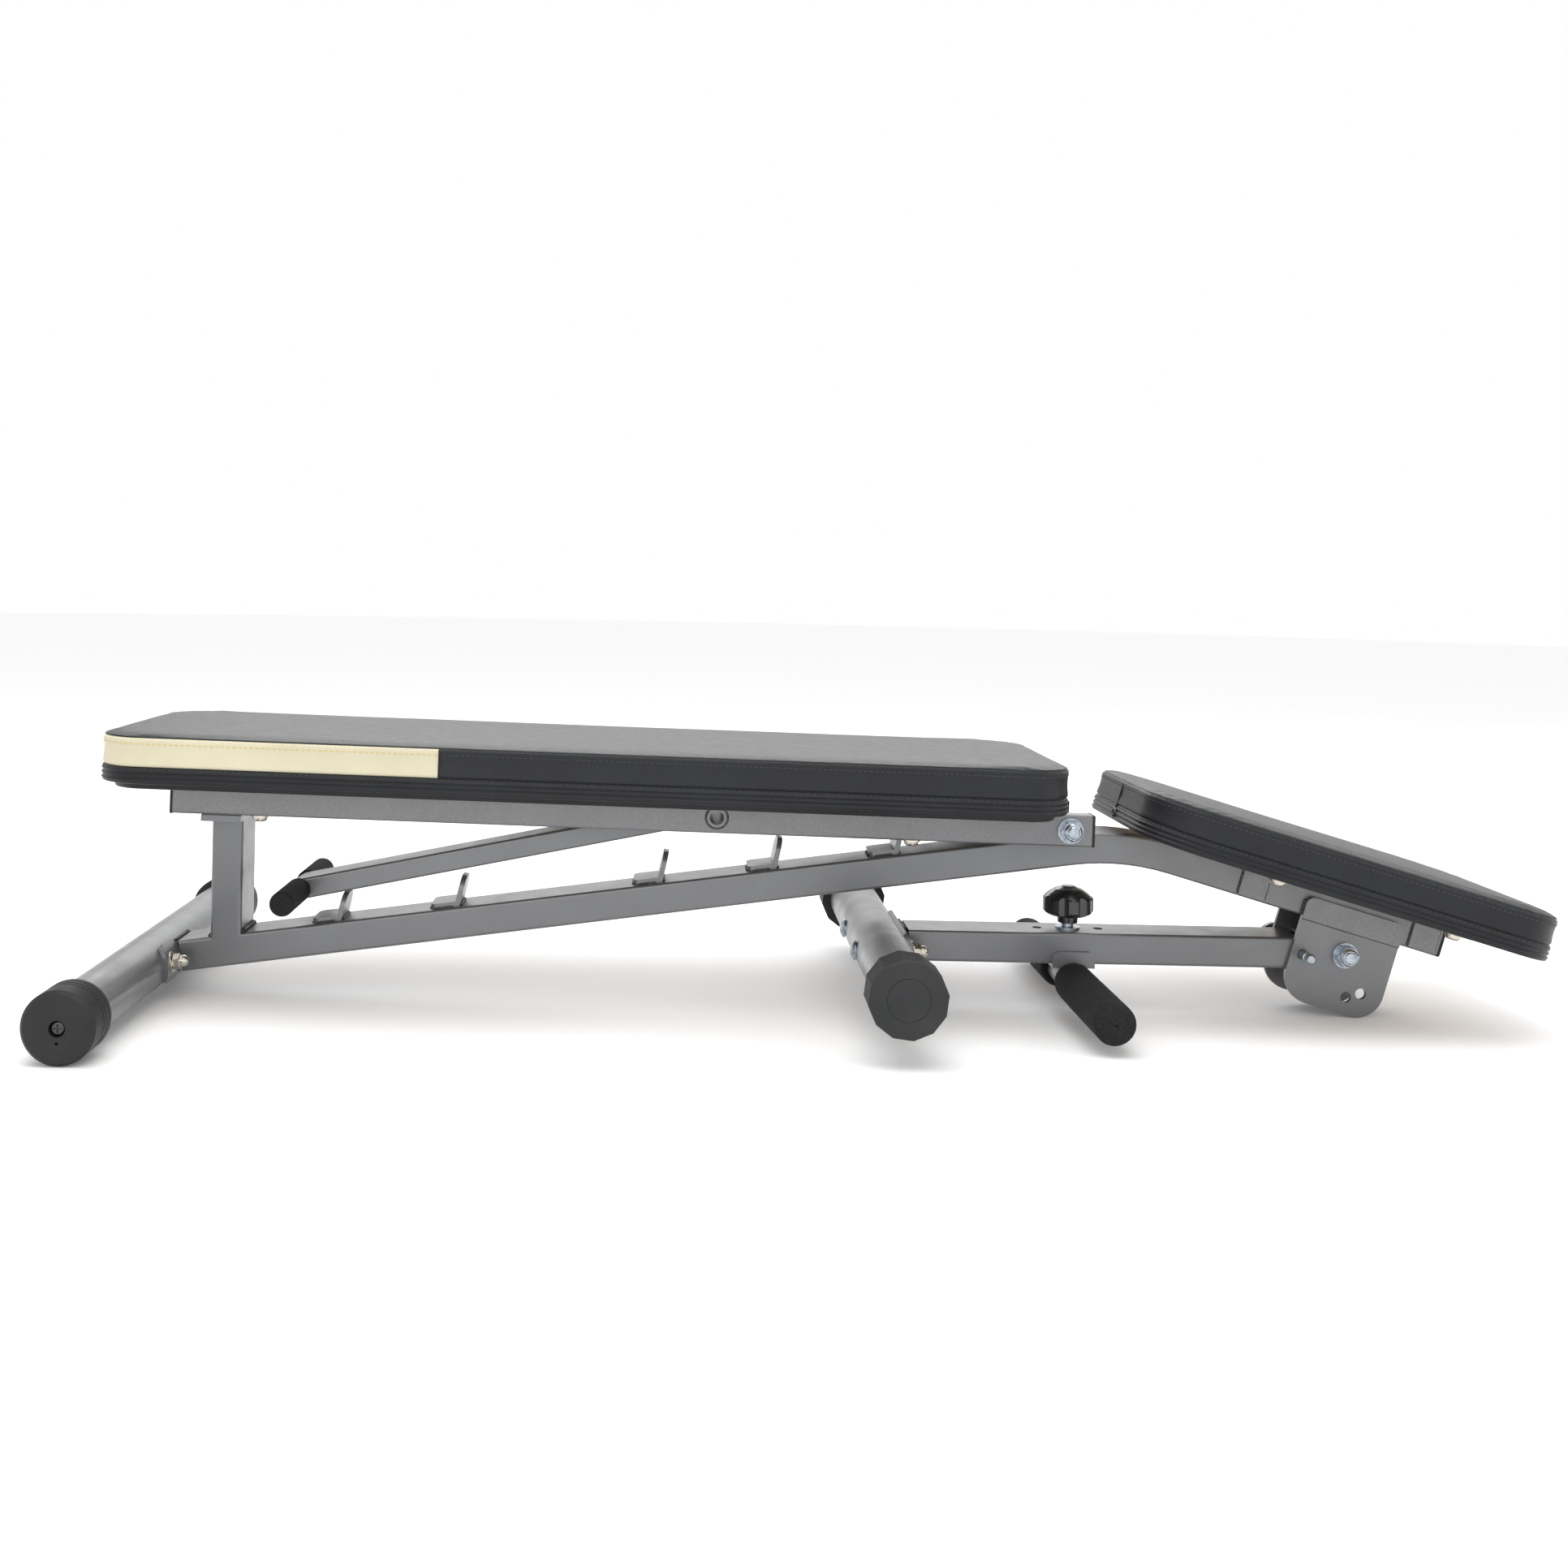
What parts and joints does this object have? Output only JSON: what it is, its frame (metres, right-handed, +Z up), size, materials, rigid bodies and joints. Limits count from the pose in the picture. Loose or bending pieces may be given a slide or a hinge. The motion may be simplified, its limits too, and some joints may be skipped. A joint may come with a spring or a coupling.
{
  "type": "adjustable weight bench",
  "caption": "Folding adjustable weight bench with padded seat and backrest, prop and ladder, foam foot roll and transport wheels.",
  "frame": {"origin": "on the floor, under the middle of the bench's length and width", "axes": "+X from the rear wheels to the seat along the bench, +Y across it, +Z up"},
  "size_m": [1.3563, 0.528, 0.2602],
  "materials": {
    "powder_coat": "silver-grey metallic powder coat",
    "vinyl": "black grained vinyl, part of the side band cream",
    "plywood": "bare plywood",
    "nickel_steel": "bright nickel plate",
    "zinc_steel": "bluish zinc plate",
    "black_plastic": "matte dark-grey moulding",
    "foot_rubber": "matte dark-grey rubber",
    "foam_rubber": "matte black closed-cell foam",
    "gloss_black": "glossy black moulding"
  },
  "bodies": {
    "frame": {"main_beam": "powder_coat", "beam_end_plug": "black_plastic", "rear_foot_tube": "powder_coat", "rear_saddle_plate": "powder_coat", "rear_foot_bolts": "zinc_steel", "rear_foot_nuts": "nickel_steel", "ladder_prongs": "powder_coat", "rest_plate": "powder_coat", "rear_post": "powder_coat", "backrest_pivot_sleeve": "powder_coat", "wheel_axles": "black_plastic", "wheel_screws": "gloss_black", "seat_pad": "vinyl", "seat_board": "plywood", "seat_t_nuts": "nickel_steel", "seat_cross_plates": "powder_coat", "seat_screws": "nickel_steel", "leg_bracket_far": "powder_coat", "leg_bracket_near": "powder_coat", "leg_pivot_bolt": "zinc_steel", "leg_pivot_washers": "zinc_steel", "leg_pivot_nut": "zinc_steel"},
    "backrest": {"backrest_rail_far": "powder_coat", "backrest_rail_near": "powder_coat", "rail_end_plugs": "black_plastic", "backrest_pivot_bolt": "zinc_steel", "backrest_pivot_washers": "zinc_steel", "backrest_pivot_nut": "zinc_steel", "prop_pivot_tube": "powder_coat", "backrest_pad": "vinyl", "backrest_board": "plywood", "backrest_t_nuts": "nickel_steel", "backrest_screws": "nickel_steel"},
    "prop": {"prop_strut": "powder_coat", "prop_sleeve": "powder_coat", "prop_cross_bar": "powder_coat", "prop_grip_far": "foam_rubber", "prop_grip_near": "foam_rubber"},
    "leg": {"leg_tube": "powder_coat", "leg_end_plug": "black_plastic", "leg_pivot_bush": "powder_coat", "front_foot_tube": "powder_coat", "front_saddle_plate": "powder_coat", "front_foot_bolts": "zinc_steel", "front_foot_nuts": "nickel_steel", "front_foot_cap_far": "foot_rubber", "front_foot_cap_near": "foot_rubber", "roll_clamp": "powder_coat", "roll_bar": "powder_coat", "roll_weld_nut": "zinc_steel", "foam_roll_far": "foam_rubber", "foam_roll_near": "foam_rubber", "roll_bar_plugs": "black_plastic", "knob_washer": "zinc_steel"},
    "knob": {"clamp_knob": "gloss_black", "knob_stud": "zinc_steel"},
    "lock_pin": {"lock_pin": "zinc_steel", "lock_pin_pull": "gloss_black"},
    "wheel_far": {"wheel_far": "black_plastic"},
    "wheel_near": {"wheel_near": "black_plastic"}
  },
  "joints": [
    {"name": "back_recline", "type": "hinge", "parent": "frame", "child": "backrest", "pos_m": [0.23299, 0, 0.18], "axis": [0, 1, 0], "range_deg": [0, 84]},
    {"name": "prop_swing", "type": "hinge", "parent": "backrest", "child": "prop", "pos_m": [-0.10226, 0, 0.18585], "axis": [0, 1, 0], "range_deg": [-118, 0]},
    {"name": "leg_fold", "type": "hinge", "parent": "frame", "child": "leg", "pos_m": [0.50869, 0, 0.06], "axis": [0, -1, 0], "range_deg": [0, 115]},
    {"name": "lock_pin_pull", "type": "slide", "parent": "frame", "child": "lock_pin", "axis": [0, 1, 0], "range_m": [0, 0.082]},
    {"name": "knob_turn", "type": "hinge", "parent": "leg", "child": "knob", "pos_m": [0.24702, 0, 0.08], "axis": [0, 0, 1], "continuous": true},
    {"name": "wheel_far_spin", "type": "hinge", "parent": "frame", "child": "wheel_far", "pos_m": [-0.64831, 0.243, 0.0315], "axis": [0, 1, 0], "continuous": true},
    {"name": "wheel_near_spin", "type": "hinge", "parent": "frame", "child": "wheel_near", "pos_m": [-0.64831, -0.243, 0.0315], "axis": [0, 1, 0], "continuous": true}
  ],
  "couplings": [
    {"joint": "prop_swing", "follows": "back_recline", "ratio": -1.4}
  ]
}
